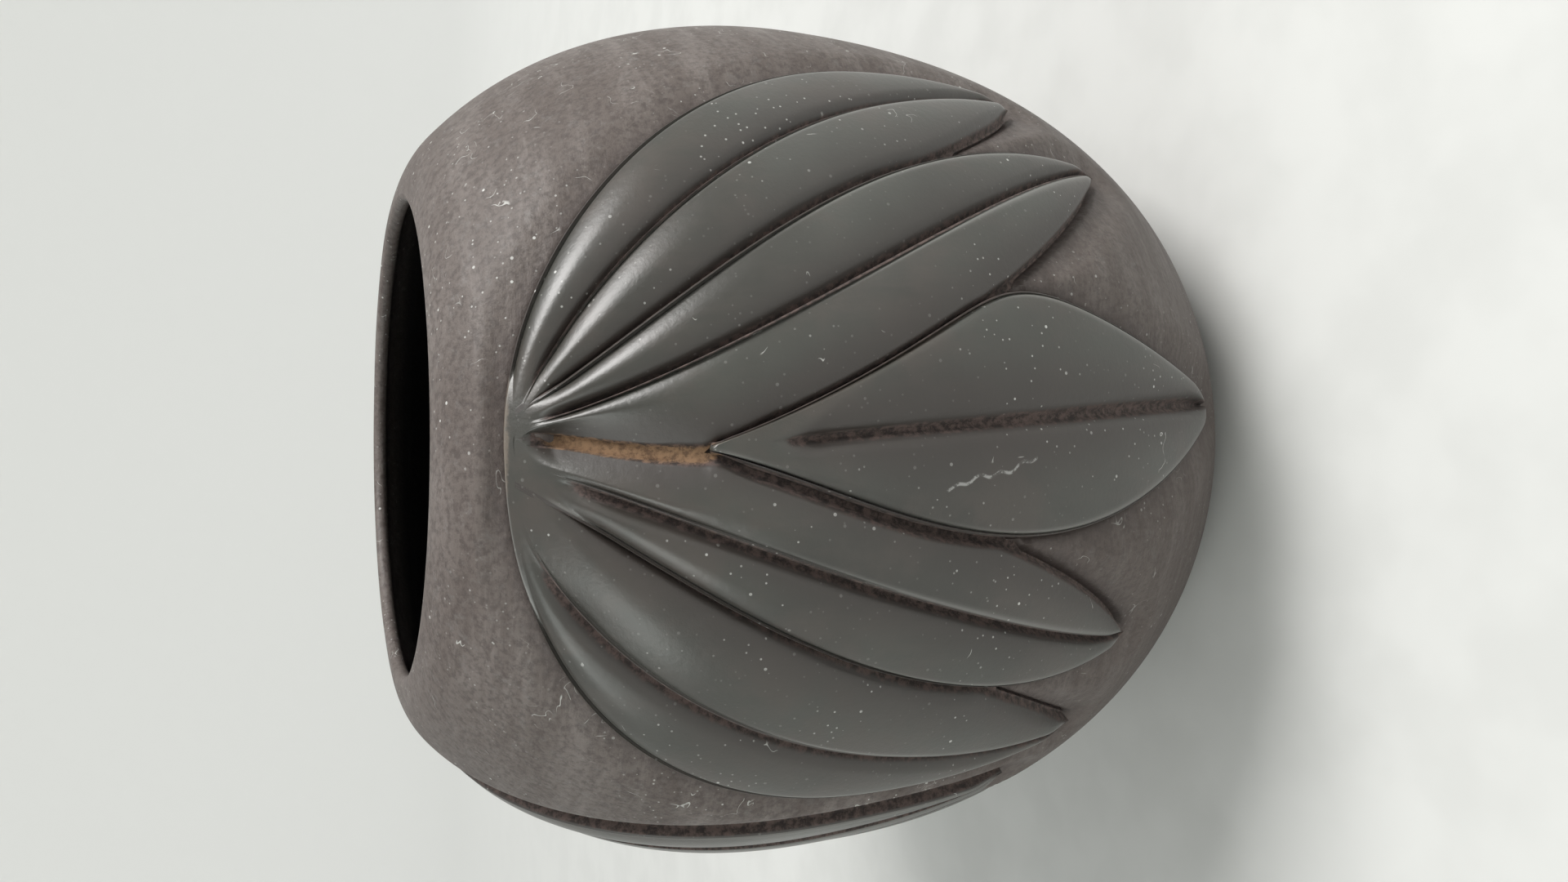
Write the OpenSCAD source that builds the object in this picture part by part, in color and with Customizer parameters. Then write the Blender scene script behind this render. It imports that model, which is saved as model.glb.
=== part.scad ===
// Round black clay jar with a wide mouth and three carved fans of leaves.
// The wall is hand built: a flat pad of clay, coils luted one on another, and a
// turned-in rim. The axis of the jar is +Z and it stands on Z = 0.
// The middle of the front fan faces -Y.

/* [Body] */
// Radius of the widest ring of the belly
belly_r = 75; // [70:1:80]
// Height of the widest ring
belly_z = 78; // [76:1:80]
// Reach of the curve below the widest ring
lower_reach = 89; // [87:1:93]
// Fullness of the lower curve, 2 for an ellipse
lower_full = 2.25; // [2.1:0.05:2.4]
// Reach of the curve above the widest ring
upper_reach = 77; // [75:1:79]
// Fullness of the upper curve, 2 for an ellipse
upper_full = 2.2; // [2.1:0.05:2.4]
// Thickness of the coiled wall
wall_t = 5; // [4:0.5:6]
// Thickness of the floor
floor_t = 7; // [6:0.5:9]
// Radius of the flat part of the floor inside
floor_r = 34; // [28:1:36]

/* [Rim] */
// Height where the shoulder starts to turn in
turn_z = 137.5; // [136:0.5:138]
// Radius of the turn
turn_r = 18; // [14:1:20]
// Angle of the turn
turn_a = 35; // [25:1:38]
// Thickness of the round lip
lip_t = 2.5; // [2:0.5:4]

/* [Coils] */
// Height of the joint between the pad and the lower coil
pad_top = 12; // [11:0.5:14]
// Height of the joint between the lower coil and the belly coil
lower_top = 44; // [36:1:52]
// Height of the joint between the belly coil and the shoulder coil
belly_top = 88; // [82:1:96]
// Height of the joint between the shoulder coil and the rim
shoulder_top = 126; // [118:1:130]

/* [Leaves] */
// Height of a leaf above the wall at its fullest
leaf_h = 1.2; // [1:0.1:2.6]
// Height of a leaf along its edges and its midrib
edge_h = 0.4; // [0.3:0.1:0.8]
// Angle of the left fan round the jar, the front fan being at 0
left_turn = -105; // [-112:0.5:-98]
// Angle of the right fan round the jar
right_turn = 127.5; // [118:0.5:136]

/* [Hidden] */
$fn = 180;
BANDS = ["base_pad", "lower_coil", "belly_coil", "shoulder_coil", "rim"];
FANS = ["front", "left", "right"];
LEAVES = ["far_left", "left", "centre", "right", "far_right"];

profile_step = 3;      // height of one step of the wall's curve
turn_steps = 6;        // steps of the turn and of each half of the lip
leaf_rows = 16;        // sections along a leaf
leaf_cols = [0, 0.25, 0.55, 0.85, 1, 1.25, 1.55, 1.85, 2];
end_trim = 0.015;      // share of a leaf's length left off at each end

// Each leaf hangs between three curves that run from the top of the fan to its
// tip: one edge, the midrib and the other edge. A curve is a cubic Bezier whose
// points are [angle round the jar, height].
far_left_tip = [-43.3, 39];
left_tip = [-27.1, 36.1];
centre_tip = [6.4, 12.4];
right_tip = [40.6, 35];
far_right_tip = [51.8, 47.2];
leaf_curves = [
    [
        [[0, 134.2], [-56.8, 134.2], [-47, 83.2], far_left_tip],
        [[0, 133.2], [-35.9, 136.1], [-39.3, 78.2], far_left_tip],
        [[-5.9, 133.1], [-28.9, 101.6], [-22.9, 73.4], far_left_tip]
    ],
    [
        [[-5.5, 133.1], [-22, 105.9], [-36, 61.6], left_tip],
        [[-3, 133], [-10.8, 109.6], [-18.5, 75.2], left_tip],
        [[-1, 133], [-0.8, 125.5], [-9.6, 55.3], left_tip]
    ],
    [
        [[-1.2, 111], [-6.8, 85.3], [-22.4, 54.5], centre_tip],
        [[-1, 111], [1.4, 86.9], [1.4, 65.1], centre_tip],
        [[-0.8, 111], [19.2, 50.8], [22.1, 82.9], centre_tip]
    ],
    [
        [[0.6, 133], [-5.5, 118.5], [17, 55.5], right_tip],
        [[1.2, 133], [12, 100], [26.2, 66.9], right_tip],
        [[3, 133.1], [18.6, 110.2], [35.2, 78.6], right_tip]
    ],
    [
        [[3.4, 133.1], [22.2, 113.9], [34.8, 61.6], far_right_tip],
        [[0, 133.2], [33.1, 126.8], [43, 73.8], far_right_tip],
        [[0, 134.2], [41.9, 134.2], [52.8, 90.8], far_right_tip]
    ]
];

function bezier(c, u) =
    pow(1 - u, 3) * c[0] + 3 * pow(1 - u, 2) * u * c[1]
    + 3 * (1 - u) * u * u * c[2] + pow(u, 3) * c[3];
function lerp(a, b, f) = a + (b - a) * f;

// The wall's outer curve: two superellipse quarters that meet at the belly.
function share(z) = z < belly_z ? (belly_z - z) / lower_reach : (z - belly_z) / upper_reach;
function full(z) = z < belly_z ? lower_full : upper_full;
function wall_r(z) = belly_r * pow(1 - pow(share(z), full(z)), 1 / full(z));
function wall_slope(z) = (wall_r(z + 0.01) - wall_r(z - 0.01)) / 0.02;
function wall_out(z) = let (s = wall_slope(z)) [1, -s] / norm([1, -s]);
function outer(z) = [wall_r(z), z];
function inner(z) = outer(z) - wall_t * wall_out(z);
function heights(a, b) =
    let (n = ceil((b - a) / profile_step))
    [for (i = [0:n]) lerp(a, b, i / n)];

// A coil between two joints. The joints lie square to the wall.
module coil(a, b) {
    z = heights(a, b);
    n = len(z) - 1;
    rotate_extrude()
        polygon(concat([for (h = z) outer(h)], [for (i = [n:-1:0]) inner(z[i])]));
}

module base_pad() {
    foot_ease = 0.6;
    top = pad_top;
    corner = inner(top);
    side = [corner[0] - (corner[1] - floor_t) * wall_slope(top), floor_t];
    fillet = [[floor_r, floor_t], side, side, corner];
    color([0.30, 0.26, 0.24])
        rotate_extrude()
            polygon(concat(
                [[0, 0], [wall_r(0) - foot_ease, 0]],
                [for (h = heights(foot_ease, top)) outer(h)],
                [for (i = [turn_steps:-1:0]) bezier(fillet, i / turn_steps)],
                [[0, floor_t]]
            ));
}

module lower_coil() {
    color([0.32, 0.28, 0.26]) coil(pad_top, lower_top);
}

module belly_coil() {
    color([0.34, 0.30, 0.28]) coil(lower_top, belly_top);
}

module shoulder_coil() {
    color([0.36, 0.31, 0.29]) coil(belly_top, shoulder_top);
}

// The rim follows the wall up to turn_z, turns in and ends in a round lip.
module rim() {
    n = wall_out(turn_z);
    start_a = atan2(n[1], n[0]);
    end_a = start_a + turn_a;
    centre = outer(turn_z) - turn_r * n;
    lip = centre + (turn_r - lip_t / 2) * [cos(end_a), sin(end_a)];
    z = heights(shoulder_top, turn_z);
    last = len(z) - 1;
    color([0.38, 0.33, 0.31])
        rotate_extrude()
            polygon(concat(
                [for (h = z) outer(h)],
                [for (i = [1:turn_steps])
                    let (a = start_a + turn_a * i / turn_steps)
                    centre + turn_r * [cos(a), sin(a)]],
                [for (i = [1:2 * turn_steps - 1])
                    let (a = end_a + 90 * i / turn_steps)
                    lip + lip_t / 2 * [cos(a), sin(a)]],
                [for (i = [turn_steps:-1:1])
                    let (f = i / turn_steps, a = start_a + turn_a * f)
                    centre + (turn_r - lerp(wall_t, lip_t, f)) * [cos(a), sin(a)]],
                [for (i = [last:-1:0]) inner(z[i])]
            ));
}

// A point on the wall, or a height above it along the wall's normal.
function on_wall(angle, z, h) =
    let (p = outer(z) + h * wall_out(z))
    [p[0] * sin(angle), -p[0] * cos(angle), p[1]];

// Across a leaf, 0 is one edge, 1 is the midrib and 2 is the other edge.
function across(curves, u, col) =
    let (mid = bezier(curves[1], u))
    col < 1 ? lerp(bezier(curves[0], u), mid, col) : lerp(mid, bezier(curves[2], u), col - 1);
function pillow(col) = let (t = col > 1 ? 2 - col : col) pow(sin(180 * pow(t, 0.7)), 0.7);
function taper(u) = min(1, 0.5 + 6 * u) * (1 - 0.5 * pow(u, 6));
function leaf_top(col, u) = edge_h + (leaf_h - edge_h) * pillow(col) * taper(u);

function leaf_ring(curves, u, turn) =
    let (n = len(leaf_cols) - 1)
    concat(
        [for (col = leaf_cols)
            let (p = across(curves, u, col))
            on_wall(p[0] + turn, p[1], leaf_top(col, u))],
        [for (i = [n:-1:0])
            let (p = across(curves, u, leaf_cols[i]))
            on_wall(p[0] + turn, p[1], 0)]
    );

// A four-sided face as two triangles, split along its shorter diagonal.
function split(points, a, b, c, d) =
    norm(points[a] - points[c]) < norm(points[b] - points[d])
        ? [[a, b, c], [a, c, d]]
        : [[a, b, d], [b, c, d]];

// A leaf is a loft of rings, each with the leaf's top and its seat on the wall.
module leaf(curves, turn, tint) {
    cols = len(leaf_cols);
    ring = 2 * cols;
    rows = [for (i = [0:leaf_rows - 1]) lerp(end_trim, 1 - end_trim, i / (leaf_rows - 1))];
    points = [for (u = rows) each leaf_ring(curves, u, turn)];
    last = (leaf_rows - 1) * ring;
    sides = [
        for (r = [0:leaf_rows - 2], i = [0:ring - 1])
            let (a = r * ring + i, b = r * ring + (i + 1) % ring)
            each split(points, a, b, b + ring, a + ring)
    ];
    ends = [
        for (i = [0:cols - 2])
            let (j = ring - 1 - i)
            each [
                [i, j, i + 1],
                [j, j - 1, i + 1],
                [last + i, last + i + 1, last + j],
                [last + j, last + i + 1, last + j - 1]
            ]
    ];
    color(tint) polyhedron(points = points, faces = concat(sides, ends), convexity = 6);
}

module front_leaf(k) {
    leaf(leaf_curves[k], 0, [0.34, 0.35, 0.33]);
}

module left_leaf(k) {
    leaf(leaf_curves[k], left_turn, [0.32, 0.33, 0.31]);
}

module right_leaf(k) {
    leaf(leaf_curves[k], right_turn, [0.30, 0.31, 0.29]);
}

base_pad();
lower_coil();
belly_coil();
shoulder_coil();
rim();
for (k = [0:len(LEAVES) - 1]) {
    front_leaf(k);
    left_leaf(k);
    right_leaf(k);
}
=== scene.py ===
import math

import bmesh
import bpy
import numpy as np
from mathutils import Matrix, Vector
from mathutils.kdtree import KDTree


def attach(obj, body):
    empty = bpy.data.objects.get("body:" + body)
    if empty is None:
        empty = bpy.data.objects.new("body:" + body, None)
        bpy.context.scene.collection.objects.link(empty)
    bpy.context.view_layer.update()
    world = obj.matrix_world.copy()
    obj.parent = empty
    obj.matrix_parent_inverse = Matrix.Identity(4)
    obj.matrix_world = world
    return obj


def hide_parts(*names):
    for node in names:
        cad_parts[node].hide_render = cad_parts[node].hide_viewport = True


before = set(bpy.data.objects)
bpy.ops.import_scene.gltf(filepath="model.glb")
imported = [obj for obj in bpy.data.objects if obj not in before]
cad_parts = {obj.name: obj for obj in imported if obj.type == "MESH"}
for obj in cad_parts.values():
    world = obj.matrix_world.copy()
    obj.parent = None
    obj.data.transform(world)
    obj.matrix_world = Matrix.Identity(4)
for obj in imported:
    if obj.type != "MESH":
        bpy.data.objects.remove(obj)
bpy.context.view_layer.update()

# ---------------------------------------------------------------------------
# Sizes, the same as in the CAD source: millimetres and degrees, +Z up, the
# middle of the front fan at angle 0, which faces -Y.
BELLY_R, BELLY_Z = 75.0, 78.0
LOWER_REACH, LOWER_FULL = 89.0, 2.25
UPPER_REACH, UPPER_FULL = 77.0, 2.2
WALL_T, FLOOR_T, FLOOR_R, FOOT_EASE = 5.0, 7.0, 34.0, 0.6
TURN_Z, TURN_R, TURN_A, LIP_T = 137.5, 18.0, 35.0, 2.5
JOINTS = (12.0, 44.0, 88.0, 126.0)
FANS = (("front", 0.0), ("left", -105.0), ("right", 127.5))
CREST = 0.15          # a leaf's crest above the jar's own curve
SCOOP = 1.9           # the ground's depth beside a leaf
SCOOP_REACH = 8.0     # and how far from it the ground is level again
MIDRIB_DEPTH = 2.2    # the floor of a leaf's middle groove below the jar's curve
GROOVE_DEPTH = 2.6    # the floor of a groove between leaves
LEAF_DEPTH = 4.2      # how far a leaf's underside lies inside the wall
RIM_STEP = 0.85       # the width of the step outside a crest
EDGE_BAND = 2.6       # the width beside an edge where columns are close together


def wall_r(z):
    z = np.asarray(z, float)
    low = z < BELLY_Z
    share = np.abs(z - BELLY_Z) / np.where(low, LOWER_REACH, UPPER_REACH)
    full = np.where(low, LOWER_FULL, UPPER_FULL)
    return BELLY_R * (1 - share ** full) ** (1 / full)


def wall_out(z):
    """The wall's outward normal as (radial, upward)."""
    slope = (wall_r(z + 0.01) - wall_r(z - 0.01)) / 0.02
    length = np.hypot(1, slope)
    return 1 / length, -slope / length


def wobble(angle, z):
    """How far a hand-built wall strays from the true curve."""
    a = np.radians(angle)
    return (0.10 * np.sin(2 * a + 0.6 + z / 47) + 0.08 * np.sin(3 * a - 1.1 - z / 29)
            + 0.06 * np.sin(5 * a + 2.0 + z / 17) + 0.03 * np.sin(9 * a + z / 9))


def place(angle, r, z):
    a = np.radians(angle)
    return np.stack([r * np.sin(a), -r * np.cos(a), z], axis=-1) * 0.001


def on_wall(angle, z, h):
    nr, nz = wall_out(z)
    h = h + wobble(angle, z)
    return place(angle, wall_r(z) + h * nr, z + h * nz)


def ground(angle, z, tree):
    """The ground's height over the jar's own curve, below 0 where it is scooped out."""
    points = on_wall(angle, z, 0 * z).reshape(-1, 3) * 1000
    d = np.array([tree.find(p)[2] for p in points]).reshape(np.shape(angle))
    beside = -SCOOP * (1 - smooth((d - 1.0) / SCOOP_REACH)) ** 1.3
    depth = beside - 1.6 * (1 - smooth((d - 0.5) / 1.0))
    for _, turn in FANS:
        off = np.radians((angle - turn + 180) % 360 - 180) * wall_r(z)
        near = np.exp(-((off - 1.2) / 3.2) ** 2 - ((z - 132.0) / 2.0) ** 2)
        depth = depth + (-0.35 - depth) * near
    return depth


# ---------------------------------------------------------------------------
# Mesh helpers

def make_mesh(name, points, faces, attributes=None, angle=50):
    mesh = bpy.data.meshes.new(name)
    mesh.from_pydata([tuple(p) for p in points], [], faces)
    for key, values in (attributes or {}).items():
        layer = mesh.attributes.new(key, "FLOAT", "POINT")
        layer.data.foreach_set("value", np.asarray(values, np.float32))
    mesh.validate()
    mesh.shade_smooth()
    mesh.set_sharp_from_angle(angle=math.radians(angle))
    obj = bpy.data.objects.new(name, mesh)
    bpy.context.scene.collection.objects.link(obj)
    return obj


def revolve(name, loop, outside, tree, count=540, angle=50):
    """Turns a closed (radius, height) loop. Its first points, as many as outside
    says, follow the scooped ground and carry a mask of painted shade beside the leaves;
    the others carry a mask of the painted shade inside the jar."""
    loop = np.asarray(loop, float)
    angles = np.arange(count) * 360 / count
    a, r = np.meshgrid(angles, loop[:, 0])
    z = np.repeat(loop[:, 1:2], count, axis=1)
    points = place(a, r, z)
    k = outside
    zz = np.clip(z[:k], 0, TURN_Z)
    depth = ground(a[:k], zz, tree) * smooth((zz - 5) / 4) * smooth((TURN_Z - zz) / 2.0)
    depth = depth + wobble(a[:k], zz) * np.clip(zz / 3, 0, 1)
    nr, nz = wall_out(zz)
    depth = np.where(r[:k] > 0, depth, 0)
    points[:k] += place(a[:k], depth * nr, 0 * zz)
    points[:k, :, 2] += depth * nz * 0.001
    points = points.reshape(-1, 3)
    # Painted shade: a mask for the inner points, 1 deep inside and fading out near the lip, that paints
    # the jar's inside near black.
    inside = np.zeros(z.shape)
    top = loop[:, 1].max()
    inside[k:] = smooth((top - 2.2 - z[k:]) / 5) if top > TURN_Z else 1.0
    # Painted shade: a mask that grows with the depth of the scoop beside the leaves, for darkening the
    # ground there.
    carved = np.zeros(z.shape)
    carved[:k] = np.clip(-ground(a[:k], zz, tree) / SCOOP, 0, 2)
    faces = []
    n = len(loop)
    for i in range(n):
        after = (i + 1) % n
        if loop[i, 0] == 0 and loop[after, 0] == 0:
            continue
        for j in range(count):
            m = (j + 1) % count
            quad = [i * count + j, i * count + m, after * count + m, after * count + j]
            if loop[i, 0] == 0:
                quad = [quad[0], quad[2], quad[3]]
            elif loop[after, 0] == 0:
                quad = [quad[0], quad[1], quad[2]]
            faces.append(quad)
    attributes = {"inside": inside.reshape(-1), "carved": carved.reshape(-1)}
    return make_mesh(name, points, faces, attributes, angle)


def merge_axis(obj):
    """Joins the points that lie on the axis into one."""
    bm = bmesh.new()
    bm.from_mesh(obj.data)
    on_axis = [v for v in bm.verts if math.hypot(v.co.x, v.co.y) < 1e-7]
    bmesh.ops.remove_doubles(bm, verts=on_axis, dist=1e-6)
    bmesh.ops.recalc_face_normals(bm, faces=bm.faces)
    bm.to_mesh(obj.data)
    bm.free()


def steps(a, b, size):
    return np.linspace(a, b, max(2, int(math.ceil(abs(b - a) / size)) + 1))


def outer_points(a, b, size=0.6):
    z = steps(a, b, size)
    return list(zip(wall_r(z), z))


def inner_points(a, b, size=2.0):
    z = steps(a, b, size)
    nr, nz = wall_out(z)
    return list(zip(wall_r(z) - WALL_T * nr, z - WALL_T * nz))


def bezier(curve, u):
    u = np.asarray(u, float)[..., None]
    c = np.asarray(curve, float)
    return ((1 - u) ** 3 * c[0] + 3 * (1 - u) ** 2 * u * c[1]
            + 3 * (1 - u) * u ** 2 * c[2] + u ** 3 * c[3])


def wall_piece(name, outside, inside):
    obj = revolve(name, outside + inside, len(outside), TREE)
    merge_axis(obj)
    obj.data.set_sharp_from_angle(angle=math.radians(50))
    return obj


def coil(name, a, b):
    return wall_piece(name, outer_points(a, b), inner_points(b, a))


def base_pad():
    top = JOINTS[0]
    corner = np.array(inner_points(top, top)[0])
    slope = float((wall_r(top + 0.01) - wall_r(top - 0.01)) / 0.02)
    side = np.array([corner[0] - (corner[1] - FLOOR_T) * slope, FLOOR_T])
    fillet = bezier([[FLOOR_R, FLOOR_T], side, side, corner], np.linspace(1, 0, 13))
    foot = float(wall_r(0.0)) - FOOT_EASE
    t = np.radians(np.linspace(0, 90, 6))[1:-1]
    ease = [(foot + FOOT_EASE * math.sin(a) * 0.8, FOOT_EASE * (1 - math.cos(a))) for a in t]
    under = [(0, 0.0)] + [(r, 0.0) for r in np.linspace(6, foot, 8)]
    outside = under + ease + outer_points(FOOT_EASE, top)
    floor = [(r, FLOOR_T) for r in np.linspace(FLOOR_R - 4, 4, 6)] + [(0, FLOOR_T)]
    inside = [tuple(p) for p in fillet] + floor
    return wall_piece("base_pad_clay", outside, inside)


def rim():
    nr, nz = wall_out(TURN_Z)
    start = math.degrees(math.atan2(nz, nr))
    end = start + TURN_A
    centre = np.array([float(wall_r(TURN_Z)) - TURN_R * nr, TURN_Z - TURN_R * nz])

    def arc(middle, a, r):
        return middle + r * np.array([math.cos(math.radians(a)), math.sin(math.radians(a))])

    lip = arc(centre, end, TURN_R - LIP_T / 2)
    round_lip = [tuple(arc(lip, end + b, LIP_T / 2)) for b in np.linspace(0, 180, 25)[1:-1]]
    turn = [tuple(arc(centre, start + TURN_A * f, TURN_R)) for f in np.linspace(0, 1, 19)[1:]]
    turn_inside = [tuple(arc(centre, start + TURN_A * f, TURN_R - (WALL_T + (LIP_T - WALL_T) * f)))
                   for f in np.linspace(1, 0, 13)[:-1]]
    outside = outer_points(JOINTS[3], TURN_Z) + turn
    inside = round_lip + turn_inside + inner_points(TURN_Z, JOINTS[3])
    return wall_piece("rim_clay", outside, inside)


# ---------------------------------------------------------------------------
# Leaves. Each hangs between three curves from the top of the fan to its tip:
# one edge, the midrib and the other edge, as [angle, height]. In the CAD source each
# edge that meets another leaf is drawn in, by up to about 2 mm from the one here.
TIPS = {"far_left": [-43.3, 39], "left": [-27.1, 36.1], "centre": [6.4, 12.4],
        "right": [40.6, 35], "far_right": [51.8, 47.2]}
CURVES = {
    "far_left": [[[0, 134.2], [-56.8, 134.2], [-47, 83.2]],
                 [[0, 133.2], [-35.9, 136.1], [-39.3, 78.2]],
                 [[-5.5, 133.1], [-27.2, 101.6], [-21.4, 73.4]]],
    "left": [[[-5.5, 133.1], [-22, 105.9], [-36, 61.6]],
             [[-3, 133], [-10.8, 109.6], [-18.5, 75.2]],
             [[-0.3, 133], [0.8, 125.5], [-8.4, 55.3]]],
    "centre": [[[-1.2, 111], [-6.8, 85.3], [-22.4, 54.5]],
               [[-1, 111], [1.4, 86.9], [1.4, 65.1]],
               [[-0.8, 111], [19.2, 50.8], [22.1, 82.9]]],
    "right": [[[-0.3, 133], [-9.1, 122.6], [15.3, 55.5]],
              [[1.2, 133], [12, 100], [26.2, 66.9]],
              [[3, 133.1], [19.4, 110.8], [36.1, 79.6]]],
    "far_right": [[[3, 133.1], [21.6, 113.5], [34, 60.9]],
                  [[0, 133.2], [33.1, 126.8], [43, 73.8]],
                  [[0, 134.2], [41.9, 134.2], [52.8, 90.8]]],
}
# Each half of a leaf has a crisp rim on its outward side, -1 for the first edge's
# side and 1 for the second's, and falls away gently on the other. A groove fades
# in below a height, over a length; None is a step down to the open ground. The
# strip of groove floor that a leaf carries is wider with a higher floor value;
# the centre leaf's changes along its length and is set in leaf_mesh.
SHAPES = {
    "far_left": dict(out=(-1, -1), floor=1.1, grooves=(None, (132.4, 9), (131, 9))),
    "left": dict(out=(-1, -1), floor=1.0, grooves=((131, 9), (129.5, 9), (132.3, 2.5))),
    "centre": dict(out=(-1, 1), grooves=((111.5, 2), (103.5, 7), (111.5, 2))),
    "right": dict(out=(1, 1), floor=0.15, grooves=((132.3, 2.5), (131.5, 6), (132, 5))),
    "far_right": dict(out=(1, 1), floor=0.55, grooves=((132, 5), (132.3, 4), None)),
}
# The edges, 0 or 2, that face a given leaf's edge across a groove.
NEIGHBOURS = {
    ("far_left", 2): [("left", 0)], ("left", 0): [("far_left", 2)],
    ("left", 2): [("right", 0), ("centre", 0)], ("right", 0): [("left", 2), ("centre", 2)],
    ("right", 2): [("far_right", 0)], ("far_right", 0): [("right", 2)],
    ("centre", 0): [("left", 2)], ("centre", 2): [("right", 0)],
}
BY_GROOVE = (("left", 1), ("right", 0))     # the lobes beside the central groove
ROWS = 170


def groove_angle(z):
    """The line of the groove between the two middle leaves, from the hub to the fork."""
    return np.interp(z, [110, 112, 118, 123, 129, 132], [-1.3, -1.8, -1.7, -1.2, -0.3, 0.0])


def curve_of(leaf, which, u):
    c = CURVES[leaf][which] + [TIPS[leaf]]
    p = bezier(c, u)
    if (leaf, which) in (("left", 2), ("right", 0)):
        side = (-0.78 if leaf == "left" else 0.78) * smooth((133 - p[:, 1]) / 1.5)
        near = smooth((p[:, 1] - 103) / 9)
        p[:, 0] += (groove_angle(p[:, 1]) + side - p[:, 0]) * near
    return p


def flat(p):
    """Angle and height to millimetres along the wall, near enough for gaps."""
    r = wall_r(p[..., 1])
    nr, _ = wall_out(p[..., 1])
    return np.stack([np.radians(p[..., 0]) * r, p[..., 1] / nr], axis=-1)


def smooth(x):
    x = np.clip(x, 0, 1)
    return x * x * (3 - 2 * x)


def rounded(d, r):
    """A quarter circle from 0 at d = 0 to 1 at d = r."""
    x = 1 - np.clip(d / np.maximum(r, 1e-6), 0, 1)
    return np.sqrt(np.clip(1 - x * x, 0, 1))


def gap_to(leaf, which, here):
    """For an edge's points, the way and the distance to the next leaf's edge."""
    if (leaf, which) not in NEIGHBOURS:
        return np.zeros_like(here), np.full(len(here), 99.0)
    fine = np.linspace(0, 1, 500)
    other = np.concatenate([flat(curve_of(*nb, fine)) for nb in NEIGHBOURS[leaf, which]])
    gap = other[None] - here[:, None]
    dist = np.linalg.norm(gap, axis=2)
    rows = np.arange(len(here))
    j = dist.argmin(axis=1)
    d = dist[rows, j]
    return gap[rows, j] / np.maximum(d, 1e-6)[:, None], d


def lap_of(side, edge, toward, gap):
    """How far the next leaf's edge lies inside this one's: negative over a gap."""
    inward = flat(edge[1]) - flat(edge[0 if side == 0 else 2])
    return np.sign((inward * toward).sum(axis=1)) * np.minimum(gap, 2.5)


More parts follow.
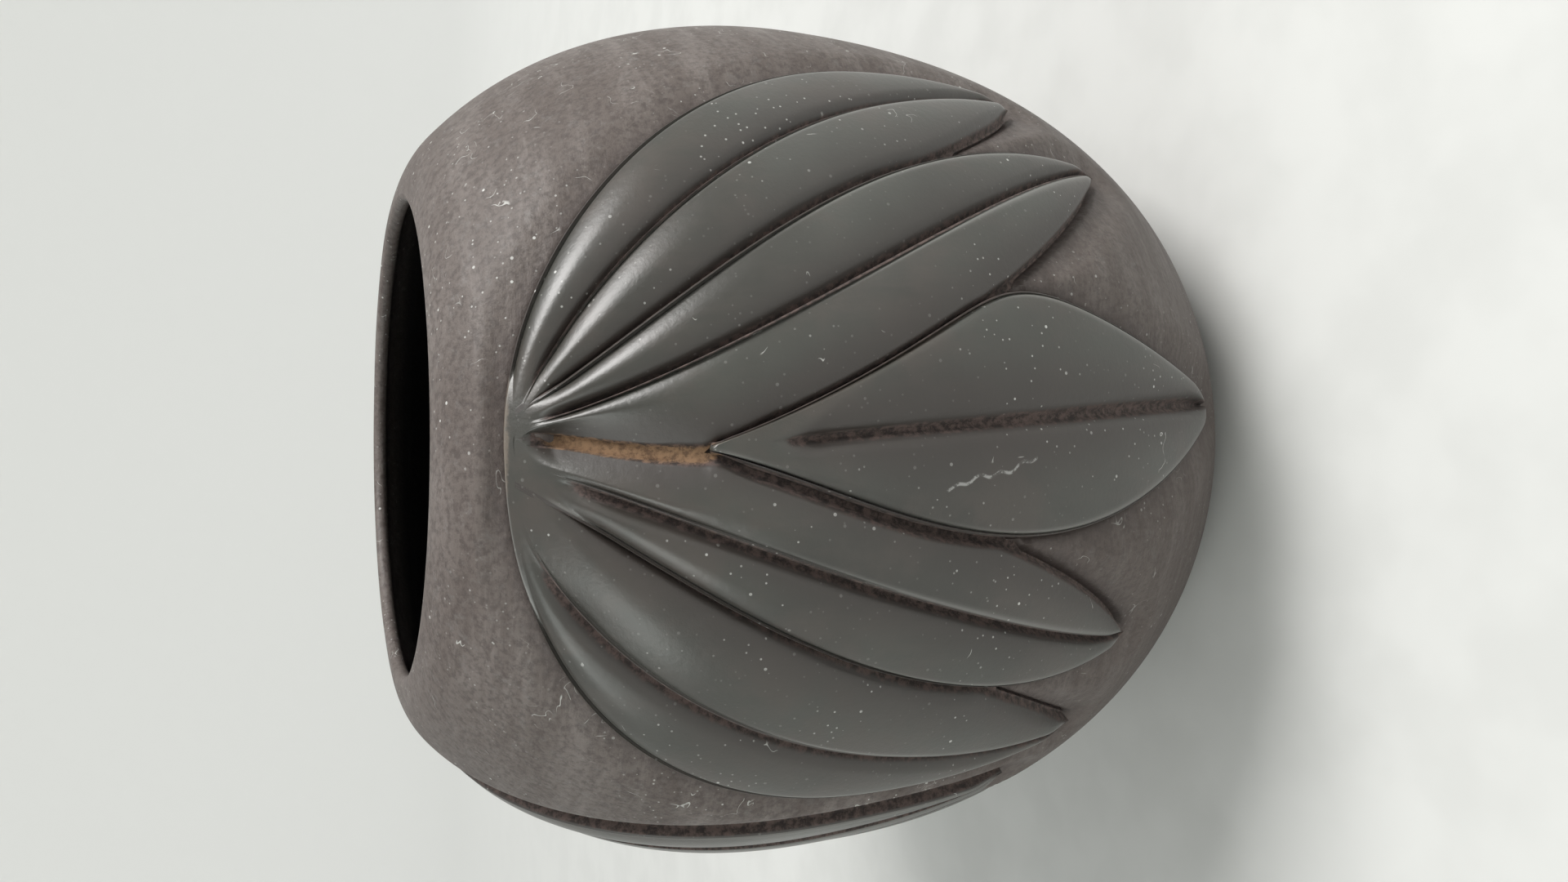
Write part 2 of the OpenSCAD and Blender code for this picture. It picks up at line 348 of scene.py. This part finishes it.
def leaf_mesh(name, leaf, turn):
    shape = SHAPES[leaf]
    u = np.linspace(0, 1, ROWS)
    u = 0.5 * u + 0.5 * (1 - np.cos(math.pi * u)) / 2
    lead = [0.0005, 0.001, 0.0015] if leaf == "centre" else [-0.010, -0.007, -0.003]
    u = np.concatenate([lead, np.clip(u, 0.002, 0.9985)])
    rows = len(u)
    edge = [curve_of(leaf, k, u) for k in range(3)]
    scale = [np.stack([np.radians(1) * wall_r(e[:, 1]), 1 / wall_out(e[:, 1])[0]], axis=1)
             for e in edge]
    widths = [np.linalg.norm(flat(edge[k + 1]) - flat(edge[k]), axis=1) for k in range(2)]
    full_w = widths[0] + widths[1]
    tuck = np.clip(-u / 0.010, 0, 1) if leaf in ("left", "right") else np.zeros(rows)
    top = CREST - 1.0 * (1 - smooth((1 - u) / 0.06)) - 0.1 * tuck
    if leaf == "centre":
        top = top - 1.2 * (1 - smooth(full_w / 2.0))
    floors = []
    for k in range(3):
        g = shape["grooves"][k]
        if g is None:
            floors.append(np.full(rows, -SCOOP))
            continue
        fade = smooth((g[0] - edge[k][:, 1]) / g[1])
        low = -MIDRIB_DEPTH if k == 1 else -GROOVE_DEPTH
        floors.append(top + (low - top) * fade)
    gaps = [gap_to(leaf, 0, flat(edge[0])), gap_to(leaf, 2, flat(edge[2]))]
    meets = [smooth((2.2 - g[1]) / 1.2) for g in gaps]
    flat_out = smooth((u - 0.12) / 0.6)
    if leaf == "centre":
        flat_out = np.ones(rows)
    cols = []

    def add(p, h, groove, ridge_highlight, dull_and_shade):
        paint = [np.broadcast_to(v, (rows,)).astype(float) for v in (groove, ridge_highlight, dull_and_shade)]
        cols.append((p, h, *paint))

    def outside(side):
        """The columns beyond an edge, from the far one in: the rim's step, or the
        end of a gentle side."""
        k = 0 if side == 0 else 2
        inward = (edge[1] - edge[k]) * scale[k]
        inward = inward / np.maximum(np.linalg.norm(inward, axis=1), 1e-9)[:, None]
        toward, gap = gaps[side]
        w = widths[side]
        is_rim = shape["out"][side] == (-1 if side == 0 else 1)
        found = []
        if is_rim:
            sw = np.minimum(RIM_STEP, 0.35 * np.maximum(w, 0.8))
            for f in (1.9, 1.45, 1.1, 0.97, 0.86, 0.7, 0.5, 0.3, 0.12):
                p = edge[k] - inward * (sw * f)[:, None] / scale[k]
                low = floors[k] - 0.45 * max(0.0, f - 1.1)
                h = low + (top - 0.12 * (top - low) - low) * rounded(sw * (1 - min(f, 1)), sw)
                # The step below a rim takes the groove's brown and dark paint: partly unburnished clay,
                # partly painted shade on the step wall.
                groove = smooth((f - 0.25) / 0.5) * smooth((top - floors[k]) / 1.0)
                found.append((p, h, groove, 0.0, 1.0))
        else:
            close = smooth((3.4 - gap) / 0.8)
            reach = 0.35 + (0.5 * gap + 0.3 - 0.35) * close
            way = -inward + (toward + inward) * close[:, None]
            for f in (1.0, 0.5):
                p = edge[k] + way * (reach * f)[:, None] / scale[k]
                found.append((p, floors[k] - 0.06 * f, smooth((top - floors[k]) / 1.0), 0.0, 1.0))
        return found

    for column in outside(0):
        add(*column)
    near = np.array([0, 0.06, 0.14, 0.24, 0.36, 0.5, 0.66, 0.83, 1.0])
    for lobe in range(2):
        w = widths[lobe]
        rim_first = shape["out"][lobe] < 0
        f_out = floors[lobe] if rim_first else floors[lobe + 1]
        f_in = floors[lobe + 1] if rim_first else floors[lobe]
        end = lobe + 1 if rim_first else lobe
        # the part of the gentle side that the next rim's step stands on
        if end == 1:
            other_rim = shape["out"][1 - lobe] == shape["out"][lobe]
            keep = np.ones(rows) if other_rim else np.full(rows, 0.35)
        else:
            side = 0 if end == 0 else 1
            other_rim = False
            keep = meets[side]
        fat = -0.35 + 0.85 * smooth((u - 0.25) / 0.6) if leaf == "centre" else shape["floor"]
        zone = np.minimum(RIM_STEP + 0.85 * fat, 0.34 * w) * keep
        if (leaf, lobe) == ("right", 0):
            zone = zone * 0.35
        if end != 1:
            lap = lap_of(side, edge, *gaps[side])
            zone = np.clip(zone + lap * keep, 0.15 * keep, 0.45 * w)
        if (leaf, lobe) in BY_GROOVE:
            zone = zone * (1 - 0.95 * smooth((edge[end][:, 1] - 106) / 5))
        step = np.minimum(RIM_STEP, 0.26 * w)
        dense = np.minimum(EDGE_BAND, 0.42 * w)
        middle = np.linspace(0, 1, 15)[1:-1]
        ts = [dense * f / w for f in near] + [(dense + (w - 2 * dense) * f) / w for f in middle] \
            + [1 - dense * f / w for f in near[::-1]]
        ge = np.minimum(EDGE_BAND, 0.42 * w)
        sag = 0.80 - 0.42 * flat_out
        peak = 0.45 - 0.23 * flat_out
        lean = 0.40 - 0.34 * smooth((u - 0.2) / 0.5)
        if (leaf, lobe) in BY_GROOVE:
            upper = smooth((edge[1][:, 1] - 106) / 8)
            sag = sag + (np.minimum(0.72, 0.115 * w) - sag) * upper
            if leaf == "left":
                peak = peak + (0.25 - peak) * upper
            wide, slim = np.minimum(1.2, 0.3 * w), np.minimum(0.5, 0.2 * w)
            ge = wide + (slim - wide) * upper
        for t in ts[lobe:]:
            p = edge[lobe] + (edge[lobe + 1] - edge[lobe]) * t[:, None]
            s = t if rim_first else 1 - t
            d, back = s * w, (1 - s) * w
            x = np.clip((s - peak) / (1 - peak), 0, 1)
            y = np.clip((peak - s) / peak, 0, 1)
            power = 1.7 - (0.5 * upper if (leaf, lobe) in BY_GROOVE else 0)
            body = top - (top - f_in) * sag * x ** power - (top - f_out) * lean * y ** 2
            ease = 1 - np.clip((back - zone) / np.maximum(ge, 1e-6), 0, 1)
            body = body - (body - f_in) * ease ** 2.2
            turn_in = 1 - np.clip(d / np.minimum(0.5, 0.15 * w + 1e-6), 0, 1)
            h = body - 0.12 * (top - f_out) * turn_in ** 2
            # The groove mask: brown and dark paint on the groove floor and walls, partly unburnished
            # clay, partly painted shade.
            groove = (1 - smooth((back - zone) / 1.5)) * smooth((top - f_in) / 1.0)
            if other_rim:
                rise = rounded(step - np.clip(back, 0, None), step) * (back < step)
                crest = top - 0.12 * (top - f_in)
                h = np.maximum(h, f_in + (crest - f_in) * rise)
                groove = groove * smooth((back - 0.05) / 0.25 + 0.2)
            drop = smooth((top - f_out) / 1.0)
            groove = np.maximum(groove, (1 - smooth((d - 0.02) / 0.25)) * 0.25 * drop)
            # Painted reflection: a pale line just inside each rim, standing in for the pale surroundings
            # caught by the rounded edge.
            spread = 0.32 + 0.45 * smooth((u - 0.5) / 0.4)
            ridge_highlight = np.exp(-((d - 0.25) / spread) ** 2) * smooth(w / 2) * drop
            # Darker, duller clay on the slope down towards the inward groove: partly less burnished
            # clay, partly painted shade.
            dull_and_shade = smooth((x + 0.05) / 0.9) * smooth((top - f_in) / 1.5)
            add(p, h, groove, ridge_highlight, dull_and_shade)
    for column in reversed(outside(1)):
        add(*column)

    n = len(cols)
    a = np.stack([c[0][:, 0] for c in cols], axis=1)
    z = np.stack([c[0][:, 1] for c in cols], axis=1)
    h = np.stack([c[1] for c in cols], axis=1)
    upper = on_wall(a + turn, z, h)
    under = [n - 1, (3 * n) // 4, n // 2, n // 4, 0]
    lower = on_wall(a[:, under] + turn, z[:, under], np.full((rows, len(under)), -LEAF_DEPTH))
    ring = n + len(under)
    points = np.concatenate([upper, lower], axis=1).reshape(-1, 3)
    pad = np.zeros((rows, len(under)))
    attributes = {}
    for key, i, fill in (("groove", 2, 1), ("ridge_highlight", 3, 0), ("dull_and_shade", 4, 1)):
        seen = np.stack([c[i] for c in cols], axis=1)
        attributes[key] = np.concatenate([seen, pad + fill], axis=1).reshape(-1)
    flat_a = np.concatenate([a, a[:, under]], axis=1).reshape(-1)
    flat_z = np.concatenate([z, z[:, under]], axis=1).reshape(-1)
    across = (flat_a - groove_angle(flat_z)) * np.radians(1) * wall_r(flat_z)
    ends = smooth((132.0 - flat_z) / 3)
    attributes["ochre"] = np.exp(-(across / 1.15) ** 2) * smooth((flat_z - 108) / 3) * ends
    # Painted light: a tan band along the top edge of the fan's arch near its middle, where the upward
    # face catches the light.
    attributes["crest"] = smooth((flat_z - 133.3) / 0.9) * np.exp(-(flat_a / 17) ** 2)
    if leaf == "centre":
        # On the centre leaf the painted light is a tan line near the top of its right-hand rim, taken
        # from the rim's painted reflection.
        bright = np.stack([c[3] for c in cols], axis=1) * (np.arange(n) > n / 2)
        bright = bright * (1 - smooth((u - 0.15) / 0.4))[:, None]
        attributes["crest"] = np.concatenate([2.0 * bright, pad], axis=1).reshape(-1)
    faces = []
    for r in range(rows - 1):
        for i in range(ring):
            j = (i + 1) % ring
            faces.append((r * ring + i, r * ring + j, (r + 1) * ring + j, (r + 1) * ring + i))
    faces.append(tuple(range(ring - 1, -1, -1)))
    faces.append(tuple((rows - 1) * ring + i for i in range(ring)))
    return make_mesh(name, points, faces, attributes, 70)


def leaf_samples():
    """A search tree of points all over the leaves of the three fans, in millimetres."""
    u = np.linspace(0.005, 0.995, 110)
    points = []
    for _, turn in FANS:
        for leaf in CURVES:
            e = [curve_of(leaf, k, u) for k in range(3)]
            for lobe in range(2):
                for t in np.linspace(0, 1, 12):
                    p = e[lobe] + (e[lobe + 1] - e[lobe]) * t
                    points.append(on_wall(p[:, 0] + turn, p[:, 1], 0 * u) * 1000)
        for z in np.linspace(109, 132, 24):
            on_groove = on_wall(np.array([turn - 1.2]), np.array([z]), np.array([0.0]))
            points.append(on_groove * 1000)
    points = np.concatenate(points)
    tree = KDTree(len(points))
    for i, p in enumerate(points):
        tree.insert(p, i)
    tree.balance()
    return tree


# ---------------------------------------------------------------------------
# Materials

def nodes_of(name):
    mat = bpy.data.materials.new(name)
    mat.use_nodes = True
    tree = mat.node_tree
    tree.nodes.clear()
    out = tree.nodes.new("ShaderNodeOutputMaterial")
    bsdf = tree.nodes.new("ShaderNodeBsdfPrincipled")
    tree.links.new(bsdf.outputs[0], out.inputs[0])
    return mat, tree, bsdf


class Graph:
    def __init__(self, tree):
        self.tree = tree
        self.coord = tree.nodes.new("ShaderNodeTexCoord").outputs["Object"]

    def put(self, socket, value):
        if isinstance(value, bpy.types.NodeSocket):
            self.tree.links.new(value, socket)
        elif isinstance(value, (tuple, list)) and len(value) == 3 and len(socket.default_value) == 4:
            socket.default_value = (*value, 1)
        else:
            socket.default_value = value

    def noise(self, scale, detail=3.0, rough=0.5, stretch=None, distort=0.0):
        n = self.tree.nodes.new("ShaderNodeTexNoise")
        vec = self.coord
        if stretch:
            m = self.tree.nodes.new("ShaderNodeMapping")
            m.inputs["Scale"].default_value = stretch
            self.put(m.inputs["Vector"], vec)
            vec = m.outputs[0]
        self.put(n.inputs["Vector"], vec)
        n.inputs["Scale"].default_value = scale
        n.inputs["Detail"].default_value = detail
        n.inputs["Roughness"].default_value = rough
        n.inputs["Distortion"].default_value = distort
        return n.outputs["Fac"]

    def specks(self, scale, size, feather=0.3):
        v = self.tree.nodes.new("ShaderNodeTexVoronoi")
        self.put(v.inputs["Vector"], self.coord)
        v.inputs["Scale"].default_value = scale
        return self.ramp(v.outputs["Distance"], size, size * (1 - feather), 0, 1)

    def axis(self, i):
        s = self.tree.nodes.new("ShaderNodeSeparateXYZ")
        self.put(s.inputs[0], self.coord)
        return s.outputs[i]

    def ramp(self, value, a, b, lo=0.0, hi=1.0):
        m = self.tree.nodes.new("ShaderNodeMapRange")
        m.interpolation_type = "SMOOTHSTEP"
        self.put(m.inputs["Value"], value)
        m.inputs["From Min"].default_value = a
        m.inputs["From Max"].default_value = b
        m.inputs["To Min"].default_value = lo
        m.inputs["To Max"].default_value = hi
        return m.outputs["Result"]

    def math(self, op, a, b=0.0, clamp=False):
        m = self.tree.nodes.new("ShaderNodeMath")
        m.operation = op
        m.use_clamp = clamp
        self.put(m.inputs[0], a)
        self.put(m.inputs[1], b)
        return m.outputs[0]

    def mix(self, factor, a, b):
        m = self.tree.nodes.new("ShaderNodeMix")
        m.data_type = "RGBA"
        self.put(m.inputs[0], factor)
        self.put(m.inputs[6], a)
        self.put(m.inputs[7], b)
        return m.outputs[2]

    def attribute(self, name):
        a = self.tree.nodes.new("ShaderNodeAttribute")
        a.attribute_name = name
        return a.outputs["Fac"]

    def lint(self, base, cover, rare):
        """Specks of dust, thicker in patches, and a few short pale fibres."""
        patch = self.ramp(self.noise(48, 3, 0.6), cover, cover + 0.12, 0.12, 1.0)
        dust = self.math("MULTIPLY", self.specks(700, 0.13), patch)
        base = self.mix(self.math("MULTIPLY", dust, 0.7), base, (0.46, 0.46, 0.44))
        dust = self.math("MULTIPLY", self.specks(300, 0.085), patch)
        base = self.mix(dust, base, (0.5, 0.5, 0.48))
        away = self.math("ABSOLUTE", self.math("SUBTRACT", self.noise(150, 2, 0.6, distort=0.6), 0.5))
        fibre = self.ramp(away, 0.0045, 0.002, 0, 1)
        some = self.ramp(self.noise(120, 2, 0.5, stretch=(1.3, 0.8, 1.1)), rare, rare + 0.03)
        return self.mix(self.math("MULTIPLY", fibre, some), base, (0.42, 0.42, 0.40))

    def bump(self, height, strength, distance, normal=None):
        b = self.tree.nodes.new("ShaderNodeBump")
        b.inputs["Strength"].default_value = strength
        b.inputs["Distance"].default_value = distance
        self.put(b.inputs["Height"], height)
        if normal is not None:
            self.put(b.inputs["Normal"], normal)
        return b.outputs[0]


def matte_clay():
    mat, tree, bsdf = nodes_of("matte_clay")
    g = Graph(tree)
    broad = g.noise(22, 3, 0.55)
    fine = g.noise(900, 4, 0.7)
    mottle = g.noise(480, 5, 0.78)
    strokes = g.noise(210, 5, 0.75, stretch=(0.14, 0.14, 1.0))
    base = g.mix(g.ramp(broad, 0.35, 0.65), (0.098, 0.079, 0.071), (0.119, 0.099, 0.090))
    base = g.mix(g.ramp(strokes, 0.42, 0.70, 0, 0.6), base, (0.185, 0.160, 0.149))
    base = g.mix(g.ramp(mottle, 0.50, 0.72, 0, 0.5), base, (0.175, 0.165, 0.160))
    base = g.mix(g.ramp(fine, 0.33, 0.60, 0.6, 0.0), base, (0.045, 0.034, 0.031))
    base = g.lint(base, 0.44, 0.61)
    # Painted shade: the ground darkens towards the bottom, where the belly turns under and away from the
    # light.
    low = g.axis(2)
    base = g.mix(g.ramp(low, 0.075, 0.02, 0, 0.5), base, (0.066, 0.052, 0.046))
    # Painted shade in the ground scooped out beside the leaves, darkest right at their edges and broken
    # up by the mottle.
    uneven = g.math("ADD", g.attribute("carved"), g.ramp(mottle, 0.3, 0.7, -0.2, 0.2))
    carved = g.ramp(uneven, 0.45, 1.15, 0, 0.65)
    base = g.mix(carved, base, (0.050, 0.037, 0.034))
    # Painted shade: the jar's inside painted near black.
    base = g.mix(g.attribute("inside"), base, (0.006, 0.005, 0.005))
    g.put(bsdf.inputs["Base Color"], base)
    g.put(bsdf.inputs["Roughness"], g.ramp(strokes, 0.3, 0.7, 0.62, 0.50))
    bsdf.inputs["Specular IOR Level"].default_value = 0.4
    n = g.bump(fine, 0.5, 0.0003)
    n = g.bump(strokes, 0.4, 0.0004, n)
    g.put(bsdf.inputs["Normal"], n)
    return mat


def burnished_clay():
    mat, tree, bsdf = nodes_of("burnished_clay")
    g = Graph(tree)
    broad = g.noise(30, 3, 0.55)
    streak = g.noise(160, 4, 0.65, stretch=(1.0, 1.0, 0.18))
    fine = g.noise(1100, 3, 0.6)
    pits = g.noise(850, 4, 0.75)
    base = g.mix(g.ramp(broad, 0.35, 0.65), (0.034, 0.032, 0.027), (0.047, 0.048, 0.041))
    base = g.mix(g.ramp(streak, 0.45, 0.75, 0, 0.5), base, (0.066, 0.054, 0.047))
    base = g.mix(g.ramp(g.noise(55, 4, 0.6), 0.46, 0.66, 0, 0.65), base, (0.060, 0.049, 0.042))
    # Darker brown on the inward slopes: partly less burnished clay, partly painted shade.
    base = g.mix(g.math("MULTIPLY", g.attribute("dull_and_shade"), 0.85), base, (0.028, 0.021, 0.018))
    # Painted reflection: pale lines along the rims.
    ridge_highlight = g.attribute("ridge_highlight")
    base = g.mix(g.math("MULTIPLY", ridge_highlight, 0.65), base, (0.18, 0.178, 0.168))
    base = g.lint(base, 0.50, 0.68)
    x, z = g.axis(0), g.axis(2)
    swing = g.math("MULTIPLY", g.math("SINE", g.math("MULTIPLY", z, 620.0)), 0.0007)
    ripple = g.math("SINE", g.math("MULTIPLY", z, 1730.0))
    swing = g.math("ADD", swing, g.math("MULTIPLY", ripple, 0.0003))
    swing = g.math("ADD", swing, g.math("MULTIPLY", g.ramp(z, 0.0745, 0.0665), 0.0027))
    off = g.math("ABSOLUTE", g.math("SUBTRACT", x, g.math("ADD", swing, -0.0060)))
    scuff = g.math("MULTIPLY", g.ramp(off, 0.00034, 0.0001), g.ramp(z, 0.0790, 0.0783))
    scuff = g.math("MULTIPLY", scuff, g.ramp(z, 0.0632, 0.0640))
    scuff = g.math("MULTIPLY", scuff, g.ramp(pits, 0.42, 0.55, 0.05, 0.8))
    scuff = g.math("MULTIPLY", scuff, g.ramp(g.axis(1), 0.0, -0.02))
    base = g.mix(scuff, base, (0.34, 0.34, 0.33))
    # Grooves and the steps below the rims: a pitted brown in patches and near black between them, partly
    # unburnished clay and partly painted shade.
    groove = g.math("ADD", g.attribute("groove"), g.math("MULTIPLY", g.math("SUBTRACT", pits, 0.5), 0.7))
    groove = g.ramp(groove, 0.25, 0.8)
    brown = g.mix(g.ramp(pits, 0.38, 0.62), (0.020, 0.013, 0.011), (0.094, 0.064, 0.056))
    base = g.mix(groove, base, brown)
    ochre = g.math("MULTIPLY", g.attribute("ochre"), g.ramp(pits, 0.3, 0.6, 0.8, 1.25))
    ochre = g.math("MULTIPLY", g.ramp(ochre, 0.25, 0.7), g.ramp(g.attribute("groove"), 0.15, 0.7), True)
    earth = g.mix(g.ramp(pits, 0.35, 0.6), (0.10, 0.055, 0.028), (0.235, 0.140, 0.075))
    base = g.mix(ochre, base, earth)
    # Painted light: tan where the crests face up into the light.
    painted_crest_light = g.math("MULTIPLY", g.attribute("crest"), g.ramp(pits, 0.3, 0.6, 0.4, 1.3))
    painted_crest_light = g.ramp(painted_crest_light, 0.15, 0.9, 0, 0.55)
    base = g.mix(painted_crest_light, base, (0.15, 0.112, 0.080))
    g.put(bsdf.inputs["Base Color"], base)
    rough = g.ramp(broad, 0.3, 0.7, 0.38, 0.31)
    lift = g.math("MULTIPLY", g.math("MAXIMUM", groove, g.math("MAXIMUM", ochre, painted_crest_light)), 0.45)
    lift = g.math("ADD", lift, g.math("MULTIPLY", g.attribute("dull_and_shade"), 0.12))
    g.put(bsdf.inputs["Roughness"], g.math("ADD", rough, lift, True))
    bsdf.inputs["Specular IOR Level"].default_value = 0.75
    n = g.bump(fine, 0.16, 0.0002)
    n = g.bump(pits, 0.12, 0.0003, n)
    g.put(bsdf.inputs["Normal"], n)
    return mat


def floor_paint():
    mat, tree, bsdf = nodes_of("floor_paint")
    g = Graph(tree)
    out = tree.nodes.new("ShaderNodeVectorMath")
    out.operation = "LENGTH"
    g.put(out.inputs[0], g.coord)
    base = g.mix(g.ramp(g.noise(40, 3), 0.35, 0.65), (0.61, 0.615, 0.60), (0.65, 0.655, 0.64))
    base = g.mix(g.ramp(out.outputs["Value"], 0.2, 0.9), base, (0.80, 0.805, 0.79))
    g.put(bsdf.inputs["Base Color"], base)
    bsdf.inputs["Roughness"].default_value = 0.9
    return mat


# ---------------------------------------------------------------------------
# Build

TREE = leaf_samples()
matte, burnished = matte_clay(), burnished_clay()

pieces = {
    "base_pad": base_pad(),
    "lower_coil": coil("lower_coil_clay", JOINTS[0], JOINTS[1]),
    "belly_coil": coil("belly_coil_clay", JOINTS[1], JOINTS[2]),
    "shoulder_coil": coil("shoulder_coil_clay", JOINTS[2], JOINTS[3]),
    "rim": rim(),
}
for node, obj in pieces.items():
    obj.data.materials.append(matte)
    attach(obj, "root")
    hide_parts(node)

for fan, turn in FANS:
    for leaf in CURVES:
        obj = leaf_mesh(f"{fan}_leaf_{leaf}_clay", leaf, turn)
        obj.data.materials.append(burnished)
        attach(obj, "root")
        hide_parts(f"{fan}_leaf_{leaf}")


# ---------------------------------------------------------------------------
# Stage, light and camera

def stage_dish():
    """A pale floor that curves up into a wall all round, open at the top."""
    flat_r, bend, height = 0.9, 0.5, 1.1
    loop = [(r, 0.0) for r in np.linspace(0, flat_r, 12)]
    loop += [(flat_r + bend * math.sin(a), bend * (1 - math.cos(a)))
             for a in np.radians(np.linspace(0, 90, 16))[1:]]
    loop += [(flat_r + bend, z) for z in np.linspace(bend, height, 5)[1:]]
    count = 96
    points, faces = [], []
    for r, z in loop:
        for j in range(count):
            a = 2 * math.pi * j / count
            points.append((r * math.sin(a), -r * math.cos(a), z))
    for i in range(len(loop) - 1):
        for j in range(count):
            m = (j + 1) % count
            faces.append((i * count + j, i * count + m,
                          (i + 1) * count + m, (i + 1) * count + j))
    obj = make_mesh("stage_dish", points, faces)
    obj.data.materials.append(floor_paint())


def area_light(name, place_at, target, size, watts, colour=(1, 1, 1)):
    light = bpy.data.lights.new(name, "AREA")
    light.shape = "RECTANGLE"
    light.size, light.size_y = size
    light.energy = watts
    light.color = colour
    obj = bpy.data.objects.new(name, light)
    obj.location = place_at
    aim = Vector(target) - Vector(place_at)
    obj.rotation_euler = aim.to_track_quat("-Z", "Y").to_euler()
    bpy.context.scene.collection.objects.link(obj)


stage_dish()
area_light("key", (0.66, -0.20, 0.95), (0, 0, 0.08), (0.45, 0.60), 13.6, (1.0, 0.985, 0.97))
area_light("fill", (-0.8, -0.45, 0.75), (0, 0, 0.08), (0.55, 0.55), 3.0, (0.95, 1.0, 0.96))

world = bpy.data.worlds.new("world")
world.use_nodes = True
world.node_tree.nodes["Background"].inputs["Color"].default_value = (0.93, 0.95, 0.94, 1)
world.node_tree.nodes["Background"].inputs["Strength"].default_value = 0.47
bpy.context.scene.world = world

# The camera lies on its side, so +X of the row frame is up in the picture.
PITCH, YAW = 0.4224, 0.0017
forward = Vector((-math.cos(PITCH) * math.sin(YAW), math.cos(PITCH) * math.cos(YAW),
                  -math.sin(PITCH)))
side = forward.cross(Vector((0, 0, 1))).normalized()
up = side.cross(forward)
camera = bpy.data.cameras.new("camera")
camera.lens, camera.sensor_width, camera.sensor_fit = 27.32, 36.0, "HORIZONTAL"
camera_obj = bpy.data.objects.new("camera", camera)
turned = Matrix((-up, side, -forward)).transposed()
camera_obj.matrix_world = Matrix.Translation((0, -0.2127, 0.1649)) @ turned.to_4x4()
bpy.context.scene.collection.objects.link(camera_obj)
bpy.context.scene.camera = camera_obj
bpy.context.scene.view_settings.view_transform = "Standard"

bpy.context.view_layer.update()
